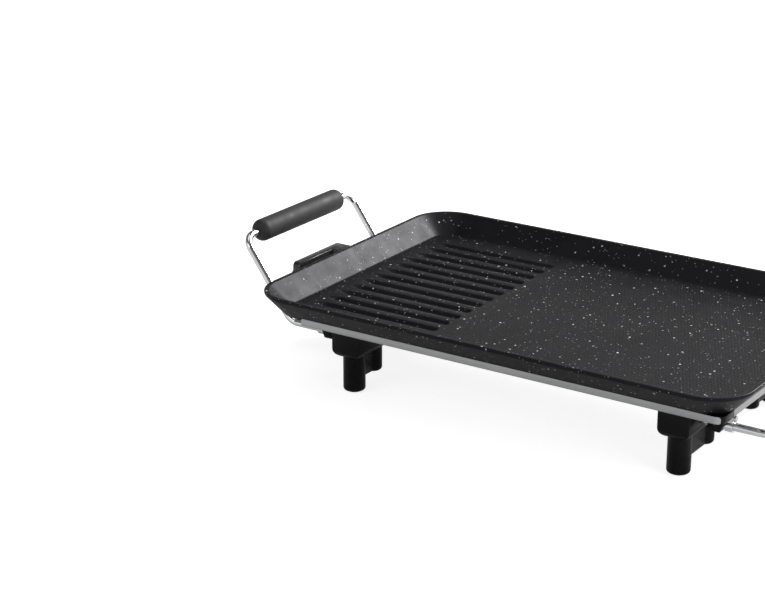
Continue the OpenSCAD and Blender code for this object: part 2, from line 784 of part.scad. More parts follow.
// Outer half of the housing, which carries the knob
module control_rear_case() color("#17171a") {
    difference() {
        union() {
            difference() {
                along_x(control_x1, control_split) control_outline(false);
                control_cavity(control_x1 + case_t, control_split + cut);
                translate([recess_x, -control_w, recess_z])
                    cube([control_split - recess_x + cut, control_w + recess_y, control_z1]);
            }
            case_bosses(control_x1 + eps, control_split);
        }
        for (y = [-case_screw_y, case_screw_y], z = case_screw_z)
            rod_x(control_x1 - cut, control_x1 + 2, y, z, 2.9);
        case_holes(control_x1, control_split + cut, small_screw_r + fit);
        rod_x(control_x1 - cut, control_x1 + 2 * case_t, 0, knob_z, bushing_r + fit);
        rod_x(control_x1 - cut, control_x1 + lens_l, 0, lens_z, lens_r + fit);
        translate([gland_x, control_w / 2 + cut, gland_z]) rotate([90, 0, 0])
            cylinder(r = gland_neck_r + fit, h = case_t + 2 * cut);
    }
}

// Spring sleeves that take the pins
module contact_sleeves() color("#b9974f") {
    for (y = [-pin_y, pin_y]) difference() {
        rod_x(sleeve_back_x, nose_x - 0.5, y, pin_z, sleeve_r);
        rod_x(sleeve_back_x + 1.5, nose_x, y, pin_z, pin_r + slide_gap);
    }
}

// Round probe that reads the pan's heat
module temperature_probe() color("#c4c6c9") {
    rod_x(control_x0 - 5, probe_tip_x - 2, 0, pin_z, probe_r);
    translate([probe_tip_x - 2, 0, pin_z]) rotate([0, 90, 0])
        rotate_extrude() intersection() {
            translate([probe_r - 2, 0]) circle(r = 2);
            square([probe_r, 2]);
        }
    rod_x(probe_tip_x - 2, probe_tip_x, 0, pin_z, probe_r - 2);
    rod_x(control_x0 - case_t - 1.5, control_x0 - case_t, 0, pin_z, probe_r + 2);
}

// Frame of the switch inside the housing
module thermostat_bracket() color("#a9abae") {
    back_x = bracket_x + bracket_t;
    along_x(bracket_x, back_x) round_rect([-bracket_half_w, bracket_z0], [bracket_half_w, bracket_z1], 2);
    for (y = [-pillar_y, pillar_y]) rod_x(back_x - eps, control_x0 - case_t, y, pillar_z, pillar_r);
    rod_x(bracket_x - stud_l, bracket_x + eps, 0, stud_z, stud_r);
}

// Blade that bends with heat and opens the switch
module bimetal_blade() color("#c08a4a") {
    along_x(blade_x, blade_x + blade_t)
        round_rect([-blade_half_w, bracket_z0], [blade_half_w, blade_z1], 2);
}

module switch_contacts() color("#d7d7cf") {
    for (x = [contact_x, contact_x + contact_t + contact_gap])
        rod_x(x, x + contact_t, 0, contact_z, contact_r);
}

module indicator_lens() color("#b3241c") {
    rod_x(control_x1, control_x1 + lens_l, 0, lens_z, lens_r);
    translate([control_x1, 0, lens_z]) rotate([0, -90, 0])
        rotate_extrude() polygon([[0, 0], [lens_r, 0], [lens_r - 0.3, 0.7], [1.2, 1.1], [0, 1.2]]);
}

// Gland for the supply cord in the housing's back side
module cord_gland() color("#1a1a1c") {
    y0 = control_w / 2 - 4;
    translate([gland_x, y0, gland_z]) rotate([-90, 0, 0]) difference() {
        union() {
            cylinder(r = gland_neck_r, h = gland_l);
            translate([0, 0, 4]) cylinder(r = 6.6, h = 1.8);
            for (z = [7.2, 9.6, 12]) translate([0, 0, z]) cylinder(r = 5.8, h = 1.2);
        }
        translate([0, 0, -cut]) cylinder(r = gland_r, h = gland_l + 2 * cut);
    }
}

// Solid of revolution about the knob's axis, standing out along -X from x
module knob_turn(x) {
    translate([x, 0, knob_z]) rotate([0, -90, 0]) rotate_extrude() children();
}

// Fixed ring round the knob's foot
module dial_bezel() color("#141416") {
    knob_turn(control_x1) polygon([[bezel_hole_r, 0], [bezel_r, 0], [bezel_r, 1.6],
        [bezel_r - 1, bezel_h], [bezel_hole_r, bezel_h]]);
}

module shaft_bushing() color("#b8a25c") {
    wall_in = -bezel_h - case_t;
    knob_turn(control_x1 - bezel_h)
        polygon([[shaft_r + fit, 0], [bushing_r, 0], [bushing_r, wall_in], [bushing_rim_r, wall_in],
            [bushing_rim_r, wall_in - bushing_rim_t], [shaft_r + fit, wall_in - bushing_rim_t]]);
}

module bushing_nut() color("#bfc1c4") {
    translate([control_x1, 0, knob_z]) rotate([0, -90, 0]) difference() {
        cylinder(r = nut_r, h = nut_t, $fn = 6);
        translate([0, 0, -cut]) cylinder(r = bushing_r + fit, h = nut_t + 2 * cut);
    }
}

module case_screws() color("#a9abae") {
    for (y = [-case_screw_y, case_screw_y], z = case_screw_z) {
        rod_x(control_x1 + 0.4, control_x1 + 2, y, z, 2.8);
        rod_x(control_x1 + 2 - eps, control_x0 - 6, y, z, small_screw_r);
    }
}

// Star-like section of the knob's ribbed skirt
function rib_outline(r, depth, count) = [for (k = [0:4 * count - 1])
    let (a = k * 90 / count) (r - ((k % 4 < 2) ? 0 : depth)) * [cos(a), sin(a)]];

// Temperature knob: foot flange, ribbed skirt, bevel and a face sunk for the dial
module temperature_knob() color("#151517") {
    translate([knob_base_x, 0, knob_z]) rotate([0, -90, 0]) difference() {
        union() {
            rotate_extrude() polygon([[0, 0], [knob_r + 0.6, 0], [knob_r + 0.6, 1.6], [knob_r - 0.4, 2.6],
                [knob_r - 0.9, 2.6], [knob_r - 0.9, knob_h - 4], [knob_r - 1.3, knob_h - 2.6],
                [knob_r - 3, knob_h - 0.4], [knob_r - 3.4, knob_h], [0, knob_h]]);
            translate([0, 0, 2.6]) linear_extrude(height = knob_h - 6.6)
                polygon(rib_outline(knob_r, 0.8, knob_ribs));
        }
        translate([0, 0, knob_h - dial_t]) cylinder(r = dial_r + fit, h = dial_t + cut);
        translate([0, 0, -cut]) cylinder(r = 8.2, h = 1.5 + cut);
        shaft_form(shaft_r + fit, -cut, 10);
    }
}

// Shaft with one flat, between two heights
module shaft_form(r, z0, z1) {
    translate([0, 0, z0]) linear_extrude(height = z1 - z0) difference() {
        circle(r = r);
        translate([r - 1, -r]) square(2 * r);
    }
}

module dial_disc() color("#0f0f11") {
    knob_turn(knob_base_x - knob_h + dial_t) square([dial_r, dial_t]);
}

// Shaft of the knob, with the cam that sets the blade
module control_shaft() color("#c4c6c9") {
    rod_x(knob_base_x, shaft_in_x, 0, knob_z, shaft_r);
    translate([knob_base_x, 0, knob_z]) rotate([0, -90, 0]) shaft_form(shaft_r, -eps, 9.5);
    rod_x(shaft_in_x - 4, shaft_in_x - 2, 0, knob_z, 5.5);
}

griddle_pan();
base_tray();
heating_element();
element_clips();
terminal_plate();
terminal_pins();
terminal_insulators();
probe_guide();
socket_shroud();
leg_front_left();
leg_front_right();
leg_rear_left();
leg_rear_right();
foot_front_left();
foot_front_right();
foot_rear_left();
foot_rear_right();
handle_wire_left();
handle_wire_right();
grip_left();
grip_right();
handle_saddles();
wire_clips();
clip_screws();
leg_screws();
tray_screws();
plate_screws();
shroud_screws();
control_front_case();
control_rear_case();
contact_sleeves();
temperature_probe();
thermostat_bracket();
bimetal_blade();
switch_contacts();
indicator_lens();
cord_gland();
dial_bezel();
shaft_bushing();
bushing_nut();
case_screws();
temperature_knob();
dial_disc();
control_shaft();
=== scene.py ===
import json
import math
import bmesh
import bpy
from mathutils import Matrix, Quaternion, Vector


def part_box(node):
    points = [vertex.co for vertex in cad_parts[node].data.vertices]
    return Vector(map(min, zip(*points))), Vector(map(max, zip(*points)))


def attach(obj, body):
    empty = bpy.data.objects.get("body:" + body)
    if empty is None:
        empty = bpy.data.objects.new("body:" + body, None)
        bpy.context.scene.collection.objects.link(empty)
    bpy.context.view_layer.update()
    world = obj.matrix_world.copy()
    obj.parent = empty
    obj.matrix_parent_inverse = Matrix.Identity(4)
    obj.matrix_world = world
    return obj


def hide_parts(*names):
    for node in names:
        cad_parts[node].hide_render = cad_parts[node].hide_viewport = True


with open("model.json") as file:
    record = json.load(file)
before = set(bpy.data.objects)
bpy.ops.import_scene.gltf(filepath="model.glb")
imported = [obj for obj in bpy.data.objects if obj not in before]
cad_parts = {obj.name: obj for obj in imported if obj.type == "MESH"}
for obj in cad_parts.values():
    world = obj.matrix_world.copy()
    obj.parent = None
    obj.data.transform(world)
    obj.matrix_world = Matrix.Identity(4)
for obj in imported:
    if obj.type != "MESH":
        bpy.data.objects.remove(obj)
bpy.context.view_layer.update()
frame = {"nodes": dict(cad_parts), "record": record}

# Shapes are given in millimetres, and MM turns them into the scene's metres
MM = 0.001


def node_box(node):
    """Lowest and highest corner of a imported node, in millimetres."""
    lo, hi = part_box(node)
    return lo / MM, hi / MM


# Camera of the photograph, found from the directions of the pan's long and short edges
CAMERA_PLACE = (0.7925, -1.4582, 0.6779)
CAMERA_FORWARD = (-0.5251, 0.7817, -0.3364)
CAMERA_LENS = 96.8
SENSOR_WIDTH = 36
CLIP_NEAR = 0.05
CLIP_FAR = 50

# Levels and plan sizes of the griddle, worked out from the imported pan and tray
HALF_L, HALF_W, RIM_Z = node_box("griddle_pan")[1]
DISH_Z = node_box("base_tray")[0].z
WELL_DEPTH = 17
FLOOR_T = 4
WALL_H = 19
RIM_R = 37
WALL_FOOT_IN = 15
SHEET = 1
FLOOR_Z = RIM_Z - WELL_DEPTH
UNDER_Z = FLOOR_Z - FLOOR_T
WALL_FOOT_Z = RIM_Z - WALL_H

# Fineness of curves, and the distance and angle under which points and faces are merged
CORNER_STEPS = 28
BEND_STEPS = 5
WELD = 0.0005
NODE_WELD = 0.02
FLAT_ANGLE = 0.4
SMOOTH_ANGLE = 35


# Mesh helpers
def link(name, data):
    """New object in the scene that shows data."""
    o = bpy.data.objects.new(name, data)
    bpy.context.scene.collection.objects.link(o)
    return o


def set_smooth(bm, angle):
    """Shades every face smooth and keeps edges sharper than the angle."""
    limit = math.radians(angle)
    for f in bm.faces:
        f.smooth = True
    for e in bm.edges:
        e.smooth = len(e.link_faces) != 2 or e.calc_face_angle(0) < limit


def reshade(o, angle):
    """Sets smooth faces and sharp edges on an object that has its mesh already."""
    bm = bmesh.new()
    bm.from_mesh(o.data)
    set_smooth(bm, angle)
    bm.to_mesh(o.data)
    bm.free()


def finish_mesh(name, bm, smooth_angle=SMOOTH_ANGLE):
    """Object from bm, which is in millimetres, with its normals outwards."""
    bmesh.ops.remove_doubles(bm, verts=bm.verts, dist=WELD)
    bmesh.ops.recalc_face_normals(bm, faces=bm.faces)
    bmesh.ops.scale(bm, verts=bm.verts, vec=(MM, MM, MM))
    set_smooth(bm, smooth_angle)
    mesh = bpy.data.meshes.new(name)
    bm.to_mesh(mesh)
    bm.free()
    return link(name, mesh)


def apply_modifiers(o):
    """Bakes the object's modifiers into its mesh."""
    evaluated = o.evaluated_get(bpy.context.evaluated_depsgraph_get())
    baked = bpy.data.meshes.new_from_object(evaluated)
    o.modifiers.clear()
    o.data = baked


def quarter_turn(step):
    """Angles from 0 to 90 degrees, in radians, a step of degrees apart."""
    return [math.radians(a) for a in range(0, 91, step)]


def filleted(corners, steps=BEND_STEPS):
    """Points through (place, radius) corners, with an arc of that radius in place of each corner."""
    points = []
    for k, (place, r) in enumerate(corners):
        here = Vector(place)
        if r == 0:
            points.append(here)
            continue
        before = (Vector(corners[k - 1][0]) - here).normalized()
        after = (Vector(corners[(k + 1) % len(corners)][0]) - here).normalized()
        half = before.angle(after) / 2
        centre = here + (before + after).normalized() * (r / math.sin(half))
        start = here + before * (r / math.tan(half)) - centre
        end = here + after * (r / math.tan(half)) - centre
        turn = start.rotation_difference(end)
        points += [centre + Quaternion().slerp(turn, s / steps) @ start for s in range(steps + 1)]
    return points


def rim_ring(inset, z, less):
    """Rounded rectangle at a distance in from the rim. Its right-hand corners have less radius."""
    ring = []
    for quarter in range(4):
        sx = 1 if quarter in (0, 3) else -1
        sy = 1 if quarter < 2 else -1
        r = max(RIM_R - inset - (less if sx > 0 else 0), 1)
        for s in range(CORNER_STEPS + 1):
            a = math.radians(quarter * 90 + s * 90 / CORNER_STEPS)
            ring.append(Vector((sx * (HALF_L - inset - r) + r * math.cos(a),
                                sy * (HALF_W - inset - r) + r * math.sin(a), z)))
    return ring


def section_rings(section, less=0):
    """Rings round the griddle for a section of (distance in from the rim, level, bend radius) corners."""
    corners = [((inset, z, 0), bend) for inset, z, bend in section]
    return [rim_ring(p.x, p.y, less) for p in filleted(corners)]


def add_between(bm, a, b):
    """Adds the faces between two closed rings of vertices."""
    for i in range(len(a)):
        j = (i + 1) % len(a)
        bm.faces.new((a[i], a[j], b[j], b[i]))


def add_rings(bm, rings):
    """Adds the surface through closed rings of points and returns their vertices."""
    made = [[bm.verts.new(p) for p in ring] for ring in rings]
    for a, b in zip(made, made[1:]):
        add_between(bm, a, b)
    return made


def add_solid(bm, rings):
    """Adds the closed solid through rings of points."""
    made = add_rings(bm, rings)
    bm.faces.new(list(reversed(made[0])))
    bm.faces.new(made[-1])


def turned_circle(turn, r, sides):
    """Points of a circle round the origin whose axis is +Z turned by a rotation."""
    angles = [math.tau * i / sides for i in range(sides)]
    return [turn @ Vector((r * math.cos(a), r * math.sin(a), 0)) for a in angles]


def circle(centre, axis, r, sides):
    """Ring of points round an axis."""
    turn = Vector(axis).to_track_quat("Z", "Y")
    return [Vector(centre) + p for p in turned_circle(turn, r, sides)]


def lathe(name, centre, axis, profile, sides):
    """Solid of revolution: profile holds (height along the axis, radius) pairs."""
    bm = bmesh.new()
    unit = Vector(axis).normalized()
    add_solid(bm, [circle(Vector(centre) + unit * h, axis, r, sides) for h, r in profile])
    return finish_mesh(name, bm)


def tube(name, path, r, sides):
    """Closed round bar along a path of points."""
    heading = (path[1] - path[0]).normalized()
    turn = heading.to_track_quat("Z", "Y")
    rings = []
    for k, p in enumerate(path):
        back = (p - path[k - 1]).normalized() if k else heading
        ahead = (path[k + 1] - p).normalized() if k + 1 < len(path) else back
        now = (back + ahead).normalized()
        turn = heading.rotation_difference(now) @ turn
        heading = now
        rings.append([p + q for q in turned_circle(turn, r, sides)])
    bm = bmesh.new()
    add_solid(bm, rings)
    return finish_mesh(name, bm)


def cut_by(target, tools):
    """Takes the tools out of the target and deletes them."""
    for tool in tools:
        cut = target.modifiers.new("cut", "BOOLEAN")
        cut.operation = "DIFFERENCE"
        cut.solver = "EXACT"
        cut.object = tool
    apply_modifiers(target)
    for tool in tools:
        bpy.data.objects.remove(tool)


def show(o, material):
    """Gives an object one material."""
    o.data.materials.clear()
    o.data.materials.append(material)


def placed(piece, body, slot, *nodes, look=None):
    """Hangs a piece on its body's empty, hides the nodes it takes the place of, and gives it the material
    of its slot, or of look when one is given.
    """
    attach(piece, body)
    if nodes:
        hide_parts(*nodes)
    show(piece, LOOKS[look or slot])


# Pan: sizes of its lip and of the step under its wall, and insets from the rim
FOOT_STEP = 1.4
FOOT_SLOPE = 0.05
FOOT_STEP_IN = WALL_FOOT_IN + FOOT_STEP
UNDER_IN = WALL_FOOT_IN + 4
LIP_W = 4.1
LIP_H = 2.6
WELL_IN = 22
SEAM_IN = WELL_IN + 4
PAN_SMOOTH_ANGLE = 50

# Pan section, as (inset, level, bend radius): up the outer wall, over the lip and down to the well's floor
PAN_SECTION = [(UNDER_IN, UNDER_Z, 0), (FOOT_STEP_IN, WALL_FOOT_Z - FOOT_STEP, 0),
               (FOOT_STEP_IN, WALL_FOOT_Z - FOOT_SLOPE, 0), (WALL_FOOT_IN, WALL_FOOT_Z, 0.4),
               (0, RIM_Z - LIP_H, 2.5), (0, RIM_Z, 0.9), (LIP_W, RIM_Z, 1.2),
               (WELL_IN, FLOOR_Z, 3.2), (SEAM_IN, FLOOR_Z, 0)]

# Blind bosses under the pan: (x, y) places of the back half, which the front half mirrors
BOSS_SPOTS = [(-156, 61), (156, 44), (-90, 70), (90, 70)]
BOSS_R = 5.5
BOSS_SIDES = 32

# Grooves of the ribbed third
GROOVE_COUNT = 12
GROOVE_PITCH = 17.8
GROOVE_HALF = 4
GROOVE_DEPTH = 2.6
GROOVES_START_IN = 36
GROOVES_END_IN = 160
GROOVE_X0 = GROOVES_START_IN + GROOVE_HALF - HALF_L
GROOVE_X1 = GROOVES_END_IN - GROOVE_HALF - HALF_L
GROOVE_Y0 = -GROOVE_PITCH * (GROOVE_COUNT - 1) / 2
SHOULDER = 1.1
BOTTOM_ROUNDNESS = 1.35
GROOVE_STEPS = 9
LEFT_END_STRETCH = 2.6
LENGTH_STEPS = 6
PATCH_EDGE = 1.6


def groove_drop(distance):
    """Depth of a groove at a distance from its middle line: round bottom and soft shoulders."""
    share = min(distance / (GROOVE_HALF + SHOULDER), 1)
    return GROOVE_DEPTH * (1 + math.cos(math.pi * share ** BOTTOM_ROUNDNESS)) / 2


def groove_patch_sides():
    """Grid lines of the grooved part of the floor, and where the left ends of its grooves begin."""
    reach = GROOVE_HALF + SHOULDER
    steps = [reach * k / GROOVE_STEPS for k in range(-GROOVE_STEPS, GROOVE_STEPS + 1)]
    ys = [GROOVE_Y0 + g * GROOVE_PITCH + s for g in range(GROOVE_COUNT) for s in steps]
    left_x = GROOVE_X0 + reach * (LEFT_END_STRETCH - 1)
    xs = [left_x + s * LEFT_END_STRETCH for s in steps if s < 0]
    xs += [left_x + (GROOVE_X1 - left_x) * k / LENGTH_STEPS for k in range(LENGTH_STEPS + 1)]
    xs += [GROOVE_X1 + s for s in steps if s > 0]
    widened = [[line[0] - PATCH_EDGE] + line + [line[-1] + PATCH_EDGE] for line in (xs, ys)]
    return widened[0], widened[1], left_x


def add_groove_patch(bm):
    """Adds the grooved part of the floor as one grid and returns its border, in order."""
    xs, ys, left_x = groove_patch_sides()
    grid = []
    for x in xs:
        beyond = max((left_x - x) / LEFT_END_STRETCH, x - GROOVE_X1, 0)
        column = []
        for y in ys:
            groove = min(max(round((y - GROOVE_Y0) / GROOVE_PITCH), 0), GROOVE_COUNT - 1)
            off = y - GROOVE_Y0 - groove * GROOVE_PITCH
            column.append(bm.verts.new((x, y, FLOOR_Z - groove_drop(math.hypot(beyond, off)))))
        grid.append(column)
    for a, b in zip(grid, grid[1:]):
        for k in range(len(ys) - 1):
            bm.faces.new((a[k], b[k], b[k + 1], a[k + 1]))
    low = [column[0] for column in grid]
    high = [column[-1] for column in reversed(grid)]
    return low + grid[-1][1:-1] + high + list(reversed(grid[0][1:-1]))


def fill_between(bm, outer, inner):
    """Fills the flat space between two closed borders."""
    edges = []
    for border in (outer, inner):
        for a, b in zip(border, border[1:] + border[:1]):
            edges.append(bm.edges.get((a, b)) or bm.edges.new((a, b)))
    bmesh.ops.triangle_fill(bm, use_beauty=True, use_dissolve=False, edges=edges)


def build_pan():
    """Pan with its flared wall, grooved floor and bosses."""
    bm = bmesh.new()
    rings = add_rings(bm, section_rings(PAN_SECTION))
    bm.faces.new(list(reversed(rings[0])))
    fill_between(bm, rings[-1], add_groove_patch(bm))
    for side in (-1, 1):
        for x, y in BOSS_SPOTS:
            levels = (DISH_Z + SHEET, UNDER_Z)
            add_solid(bm, [circle((x, side * y, z), (0, 0, 1), BOSS_R, BOSS_SIDES) for z in levels])
    placed(finish_mesh("pan_shell", bm, PAN_SMOOTH_ANGLE), "griddle", "pan_coating", "griddle_pan")


# Base tray: levels of its bright band, and insets of its sheet from the rim
BAND_LOW = WALL_FOOT_Z - 6.5
BAND_TOP = WALL_FOOT_Z - 0.2
BAND_IN = WALL_FOOT_IN + 0.2
SHELF_IN = 30
DISH_IN = 35
DISH_SEAM_IN = 45
SLOPE_SHIFT = 0.6
CORNER_LESS = 14

# Tray section, as (inset, level, bend radius): outside from the bright band to the dish, and back inside
TRAY_OUTER = [(BAND_IN, BAND_TOP, 0), (BAND_IN, BAND_LOW, 1.2), (SHELF_IN, BAND_LOW, 2.5),
              (DISH_IN, DISH_Z, 2.5), (DISH_SEAM_IN, DISH_Z, 0)]
TRAY_INNER = [(DISH_SEAM_IN, DISH_Z + SHEET, 0), (DISH_IN + SLOPE_SHIFT, DISH_Z + SHEET, 1.5),
              (SHELF_IN + SLOPE_SHIFT, BAND_LOW + SHEET, 1.5), (BAND_IN + SHEET, BAND_LOW + SHEET, 0.4),
              (BAND_IN + SHEET, BAND_TOP, 0)]

# Tray cut-outs: ends of the bright band, open left end and notch for the thermostat's nose
BAND_X0 = 46 - HALF_L
BAND_X1 = HALF_L - 17.5
BAND_END_R = 2.2
BAND_END_STEP = 15
LONG_BAND_Y = HALF_W - 30
END_BAND_Y = HALF_W - 36
OPEN_END_X = 30 - HALF_L
NOTCH_X = 40 - HALF_L
NOTCH_HALF = 30

# How far cutters reach beyond what they cut: sideways, over the band, under it, and at a face in line
CUT_SIDE = 10
CUT_OVER = 2
CUT_UNDER = 1
CUT_IN_LINE = 0.01


def prism_cutter(outline, y0, y1):
    """Cutter with an outline of (x, z) places, from y0 to y1."""
    bm = bmesh.new()
    add_solid(bm, [[Vector((x, y, z)) for x, z in outline] for y in (y0, y1)])
    return finish_mesh("cutter", bm)


def block_cutter(low_corner, high_corner, y0, y1):
    """Cutter with a rectangular outline between two (x, z) corners, from y0 to y1."""
    x0, z0 = low_corner
    x1, z1 = high_corner
    return prism_cutter([(x0, z0), (x1, z0), (x1, z1), (x0, z1)], y0, y1)


def band_end_cutter(x, out, y0, y1):
    """Cutter that ends the bright band at x with round corners, on the side that out points to."""
    far = out * (HALF_L + CUT_SIDE)
    start = x - out * BAND_END_R
    reach = out * BAND_END_R
    turns = quarter_turn(BAND_END_STEP)
    low_arc = [(start + reach * math.sin(a), BAND_LOW + BAND_END_R * (1 - math.cos(a))) for a in turns]
    high_arc = [(start + reach * math.cos(a), BAND_TOP - BAND_END_R * (1 - math.sin(a))) for a in turns]
    bottom = [(far, BAND_LOW - CUT_UNDER), (start, BAND_LOW - CUT_UNDER)]
    top = [(start, BAND_TOP + CUT_OVER), (far, BAND_TOP + CUT_OVER)]
    return prism_cutter(bottom + low_arc + high_arc + top, y0, y1)


def build_tray():
    """Sheet tray with its bright band, open at the left end and notched for the thermostat."""
    bm = bmesh.new()
    outer = add_rings(bm, section_rings(TRAY_OUTER, CORNER_LESS))
    inner = add_rings(bm, section_rings(TRAY_INNER, CORNER_LESS))
    add_between(bm, outer[0], inner[-1])
    bm.faces.new(outer[-1])
    bm.faces.new(list(reversed(inner[0])))
    tray = finish_mesh("tray_sheet", bm)
    low = BAND_LOW - CUT_IN_LINE
    high = WALL_FOOT_Z + CUT_OVER
    far = HALF_L + CUT_SIDE
    wide = HALF_W + CUT_SIDE
    tools = [block_cutter((-far, low), (OPEN_END_X, high), -wide, wide),
             block_cutter((-far, DISH_Z + SHEET), (NOTCH_X, high), -NOTCH_HALF, NOTCH_HALF)]
    for side in (-1, 1):
        tools.append(band_end_cutter(BAND_X0, -1, side * LONG_BAND_Y, side * wide))
        tools.append(band_end_cutter(BAND_X1, 1, side * END_BAND_Y, side * wide))
    cut_by(tray, tools)
    reshade(tray, SMOOTH_ANGLE)
    placed(tray, "griddle", "tray_metal", "base_tray")


# Handles: wire from the leg out, up a slanted knee and across to the other leg
WIRE_R = 3.3
WIRE_Y = 82
WIRE_END_X = 150
WIRE_LEAN = math.radians(36)
KNEE_BEND = 14
TOP_BEND = 12
WIRE_BEND_STEPS = 14
WIRE_SIDES = 28
GRIP_END_R = 7
GRIP_END_STEP = 9
GRIP_SIDES = 72


def build_handle(side, label):
    """Wire and grip of one end: side is -1 on the left and 1 on the right."""
    lo, hi = node_box("grip_" + label)
    grip_x = (lo.x + hi.x) / 2
    grip_z = (lo.z + hi.z) / 2
    grip_r = (hi.z - lo.z) / 2
    grip_l = hi.y - lo.y
    wire_z = node_box("handle_wire_" + label)[0].z + WIRE_R
    knee_x = grip_x - side * (grip_z - wire_z) * math.tan(WIRE_LEAN)
    front = [((side * WIRE_END_X, WIRE_Y, wire_z), 0), ((knee_x, WIRE_Y, wire_z), KNEE_BEND),
             ((grip_x, WIRE_Y, grip_z), TOP_BEND)]
    back = [((x, -y, z), r) for (x, y, z), r in reversed(front)]
    wire = tube("handle_bar_" + label, filleted(front + back, WIRE_BEND_STEPS), WIRE_R, WIRE_SIDES)
    placed(wire, "griddle", "chrome_wire", "handle_wire_" + label)
    flat = grip_r - GRIP_END_R
    turns = quarter_turn(GRIP_END_STEP)
    end = [(GRIP_END_R * (1 - math.cos(a)), flat + GRIP_END_R * math.sin(a)) for a in turns]
    profile = end + [(grip_l - h, r) for h, r in reversed(end)]
    grip = lathe("grip_sleeve_" + label, (grip_x, -grip_l / 2, grip_z), (0, 1, 0), profile, GRIP_SIDES)
    placed(grip, "griddle", "grip_plastic", "grip_" + label)


# Dial: marks stand at angles round its middle, and sizes are in millimetres
DIAL_LOW, DIAL_HIGH = node_box("dial_disc")
DIAL_CENTRE = (DIAL_LOW + DIAL_HIGH) / 2
DIAL_FACE_X = DIAL_LOW.x
DIAL_R = (DIAL_HIGH.z - DIAL_LOW.z) / 2
PRINT_T = 0.06
CIRCLE_R = DIAL_R * 0.53
MARK_R = DIAL_R * 0.73
EDGE_R = DIAL_R - 0.7
LINE_W = 0.75
EDGE_W = 0.3
RING_STEPS = 96
BOX_HALF = 1.95
BOX_CORNER = 0.5
BOX_ANGLES = {"1": 260, "2": 281, "3": 302, "4": 323, "5": 344}
HOT_SETTING = "5"
ZERO_ANGLE = 90
ARROW_FROM = 106
ARROW_TO = 238
ARROW_W = LINE_W * 1.3
ARROW_STEP = 4
HEAD_HALF = 1.5
HEAD_ANGLE = 11
DIGIT_SIZE = 3.5
DIGIT_WEIGHT = 0.05

# Index mark: a triangle on the housing, over the knob
INDEX_HALF = 1.1
INDEX_H = 1.7
INDEX_GAP = 0.6


def on_dial(u, v, lift):
    """Place on the dial's face: u to the right and v up as seen from outside."""
    return Vector((DIAL_FACE_X - lift, DIAL_CENTRE.y - u, DIAL_CENTRE.z + v))


def polar(r, degrees):
    """Place (u, v) at a radius and an angle on the dial."""
    return r * math.cos(math.radians(degrees)), r * math.sin(math.radians(degrees))


def print_flat(name, outlines, ink_name):
    """Thin raised print on the dial from flat outlines of places (u, v)."""
    bm = bmesh.new()
    for outline in outlines:
        add_solid(bm, [[on_dial(u, v, lift) for u, v in outline] for lift in (0, PRINT_T)])
    placed(finish_mesh(name, bm), "knob", "dial_face", look=ink_name)


def print_ring(name, r, width, ink_name):
    """Printed circle."""
    inner = r - width / 2
    outer = r + width / 2
    bm = bmesh.new()
    rings = []
    for radius, lift in ((inner, 0), (inner, PRINT_T), (outer, PRINT_T), (outer, 0)):
        spots = [polar(radius, 360 * k / RING_STEPS) for k in range(RING_STEPS)]
        rings.append([on_dial(u, v, lift) for u, v in spots])
    made = add_rings(bm, rings)
    add_between(bm, made[-1], made[0])
    placed(finish_mesh(name, bm), "knob", "dial_face", look=ink_name)


def print_digit(text, angle, head, ink_name, base):
    """Printed digit over a base height. Its head points out to the rim (1) or in to the centre (-1)."""
    data = bpy.data.curves.new("digit_" + text, "FONT")
    data.body = text
    data.size = DIGIT_SIZE * MM
    data.align_x = "CENTER"
    data.align_y = "CENTER"
    data.extrude = PRINT_T / 2 * MM
    data.offset = DIGIT_WEIGHT * MM
    o = link("digit_" + text, data)
    u, v = polar(MARK_R, angle)
    across = Vector((0, -1, 0))
    up = Vector((0, 0, 1))
    out = Vector((-1, 0, 0))
    face = Matrix((across, up, out)).transposed().to_4x4()
    spin = Matrix.Rotation(math.radians(angle - head * 90), 4, "Z")
    o.matrix_world = Matrix.Translation(on_dial(u, v, base + PRINT_T / 2) * MM) @ face @ spin
    bpy.context.view_layer.update()
    mesh = bpy.data.meshes.new_from_object(o.evaluated_get(bpy.context.evaluated_depsgraph_get()))
    mesh.transform(o.matrix_world)
    bpy.data.objects.remove(o)
    placed(link("digit_" + text, mesh), "knob", "dial_face", look=ink_name)


def arrow_outlines():
    """Short strips that make up the arrow's arc, and its head."""
    inner = MARK_R - ARROW_W / 2
    outer = MARK_R + ARROW_W / 2
    count = int((ARROW_TO - ARROW_FROM) / ARROW_STEP)
    cuts = [ARROW_FROM + (ARROW_TO - ARROW_FROM) * k / count for k in range(count + 1)]
    strips = [[polar(inner, a), polar(outer, a), polar(outer, b), polar(inner, b)]
              for a, b in zip(cuts, cuts[1:])]
    head = [polar(MARK_R - HEAD_HALF, ARROW_TO), polar(MARK_R + HEAD_HALF, ARROW_TO),
            polar(MARK_R, ARROW_TO + HEAD_ANGLE)]
    return strips + [head]


def box_outline(angle):
    """Rounded square at the mark radius, turned with its place on the dial."""
    u, v = polar(MARK_R, angle)
    turn = Matrix.Rotation(math.radians(angle - ZERO_ANGLE), 2)
    square = [(sx * BOX_HALF, sy * BOX_HALF) for sx, sy in ((-1, -1), (1, -1), (1, 1), (-1, 1))]
    corners = [((x, y, 0), BOX_CORNER) for x, y in square]
    return [(u + p.x, v + p.y) for p in (turn @ q.to_2d() for q in filleted(corners))]


